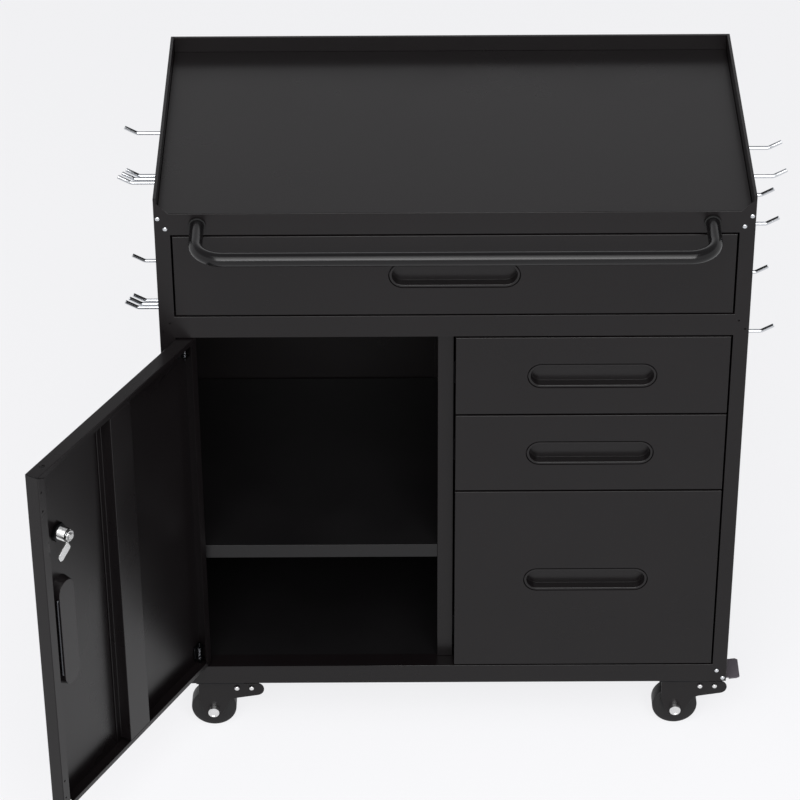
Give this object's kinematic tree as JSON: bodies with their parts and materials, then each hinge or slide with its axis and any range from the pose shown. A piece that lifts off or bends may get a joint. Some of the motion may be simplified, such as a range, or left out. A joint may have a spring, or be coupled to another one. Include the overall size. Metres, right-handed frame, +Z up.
{
  "type": "rolling tool cabinet",
  "caption": "Black sheet steel tool cabinet on castors with a tray top, push handle, drawers, a door that stands open on a shelved compartment, and hooks on perforated sides.",
  "frame": {"origin": "on the floor, under the middle of the box round the cabinet with its door open", "axes": "+X to the cabinet's right, +Y to its back, +Z up"},
  "size_m": [1.0194, 0.7682, 0.921],
  "materials": {
    "powder_coat": "satin black powder coat",
    "inner_coat": "satin black powder coat, inside",
    "handle_coat": "semi-gloss black powder coat on tube",
    "pedal_coat": "dark grey e-coat",
    "chrome_plate": "bright chrome plate",
    "zinc_plate": "bright zinc plate",
    "wheel_rubber": "matte black tyre and hub",
    "collar_plastic": "matte black collar"
  },
  "bodies": {
    "cabinet": {"front_frame": "powder_coat", "left_side_panel": "powder_coat", "right_side_panel": "powder_coat", "back_panel": "powder_coat", "base_panel": "inner_coat", "tray_floor": "powder_coat", "middle_deck": "inner_coat", "centre_partition": "powder_coat", "shelf": "inner_coat", "push_handle": "handle_coat", "left_handle_collar": "collar_plastic", "right_handle_collar": "collar_plastic", "top_drawer_left_runner": "zinc_plate", "top_drawer_right_runner": "zinc_plate", "upper_drawer_left_runner": "zinc_plate", "upper_drawer_right_runner": "zinc_plate", "middle_drawer_left_runner": "zinc_plate", "middle_drawer_right_runner": "zinc_plate", "deep_drawer_left_runner": "zinc_plate", "deep_drawer_right_runner": "zinc_plate", "right_upper_double_hook": "chrome_plate", "right_lower_double_hook": "chrome_plate", "right_middle_hook": "chrome_plate", "right_lower_hook": "chrome_plate", "left_upper_hook": "chrome_plate", "left_middle_hook": "chrome_plate", "left_upper_triple_hook": "chrome_plate", "left_lower_triple_hook": "chrome_plate", "front_left_castor_plate": "zinc_plate", "front_right_castor_plate": "zinc_plate", "rear_left_castor_plate": "zinc_plate", "rear_right_castor_plate": "zinc_plate"},
    "top_drawer": {"top_drawer_front": "powder_coat", "top_drawer_box": "inner_coat"},
    "upper_drawer": {"upper_drawer_front": "powder_coat", "upper_drawer_box": "inner_coat"},
    "middle_drawer": {"middle_drawer_front": "powder_coat", "middle_drawer_box": "inner_coat"},
    "deep_drawer": {"deep_drawer_front": "powder_coat", "deep_drawer_box": "inner_coat"},
    "door": {"door_panel": "powder_coat", "door_stiffener": "powder_coat", "lock_housing": "chrome_plate", "upper_hinge_pin": "zinc_plate", "lower_hinge_pin": "zinc_plate"},
    "cam": {"lock_cam": "chrome_plate"},
    "front_left_castor": {"front_left_castor_fork": "powder_coat", "front_left_castor_axle": "chrome_plate"},
    "front_left_wheel": {"front_left_castor_wheel": "wheel_rubber"},
    "front_right_castor": {"front_right_castor_fork": "powder_coat", "front_right_castor_axle": "chrome_plate"},
    "front_right_wheel": {"front_right_castor_wheel": "wheel_rubber"},
    "rear_left_castor": {"rear_left_castor_fork": "powder_coat", "rear_left_castor_axle": "chrome_plate"},
    "rear_left_wheel": {"rear_left_castor_wheel": "wheel_rubber"},
    "rear_right_castor": {"rear_right_castor_fork": "powder_coat", "rear_right_castor_axle": "chrome_plate"},
    "rear_right_wheel": {"rear_right_castor_wheel": "wheel_rubber"},
    "front_left_brake": {"front_left_brake_pedal": "pedal_coat"},
    "front_right_brake": {"front_right_brake_pedal": "pedal_coat"}
  },
  "joints": [
    {"name": "top_drawer_slide", "type": "slide", "parent": "cabinet", "child": "top_drawer", "axis": [0, -1, 0], "range_m": [0, 0.34]},
    {"name": "upper_drawer_slide", "type": "slide", "parent": "cabinet", "child": "upper_drawer", "axis": [0, -1, 0], "range_m": [0, 0.34]},
    {"name": "middle_drawer_slide", "type": "slide", "parent": "cabinet", "child": "middle_drawer", "axis": [0, -1, 0], "range_m": [0, 0.34]},
    {"name": "deep_drawer_slide", "type": "slide", "parent": "cabinet", "child": "deep_drawer", "axis": [0, -1, 0], "range_m": [0, 0.34]},
    {"name": "door_hinge", "type": "hinge", "parent": "cabinet", "child": "door", "pos_m": [-0.32163, -0.05785, 0.412], "axis": [0, 0, 1], "range_deg": [0, 119.8]},
    {"name": "lock_turn", "type": "hinge", "parent": "door", "child": "cam", "pos_m": [-0.47659, -0.32842, 0.571], "axis": [-0.8678, 0.497, 0], "range_deg": [0, 27]},
    {"name": "front_left_swivel", "type": "hinge", "parent": "cabinet", "child": "front_left_castor", "pos_m": [-0.29363, -0.03385, 0.085], "axis": [0, 0, 1], "continuous": true},
    {"name": "front_left_wheel_spin", "type": "hinge", "parent": "front_left_castor", "child": "front_left_wheel", "pos_m": [-0.30513, -0.03385, 0.033], "axis": [0, 1, 0], "continuous": true},
    {"name": "front_right_swivel", "type": "hinge", "parent": "cabinet", "child": "front_right_castor", "pos_m": [0.38637, -0.03385, 0.085], "axis": [0, 0, 1], "continuous": true},
    {"name": "front_right_wheel_spin", "type": "hinge", "parent": "front_right_castor", "child": "front_right_wheel", "pos_m": [0.37487, -0.03385, 0.033], "axis": [0, 1, 0], "continuous": true},
    {"name": "rear_left_swivel", "type": "hinge", "parent": "cabinet", "child": "rear_left_castor", "pos_m": [-0.29363, 0.35415, 0.085], "axis": [0, 0, 1], "continuous": true},
    {"name": "rear_left_wheel_spin", "type": "hinge", "parent": "rear_left_castor", "child": "rear_left_wheel", "pos_m": [-0.30513, 0.35415, 0.033], "axis": [0, 1, 0], "continuous": true},
    {"name": "rear_right_swivel", "type": "hinge", "parent": "cabinet", "child": "rear_right_castor", "pos_m": [0.38637, 0.35415, 0.085], "axis": [0, 0, 1], "continuous": true},
    {"name": "rear_right_wheel_spin", "type": "hinge", "parent": "rear_right_castor", "child": "rear_right_wheel", "pos_m": [0.37487, 0.35415, 0.033], "axis": [0, 1, 0], "continuous": true},
    {"name": "front_left_brake_press", "type": "hinge", "parent": "front_left_castor", "child": "front_left_brake", "pos_m": [-0.26983, -0.03385, 0.0745], "axis": [0, 1, 0], "range_deg": [0, 15]},
    {"name": "front_right_brake_press", "type": "hinge", "parent": "front_right_castor", "child": "front_right_brake", "pos_m": [0.41017, -0.03385, 0.0745], "axis": [0, 1, 0], "range_deg": [0, 15]}
  ]
}
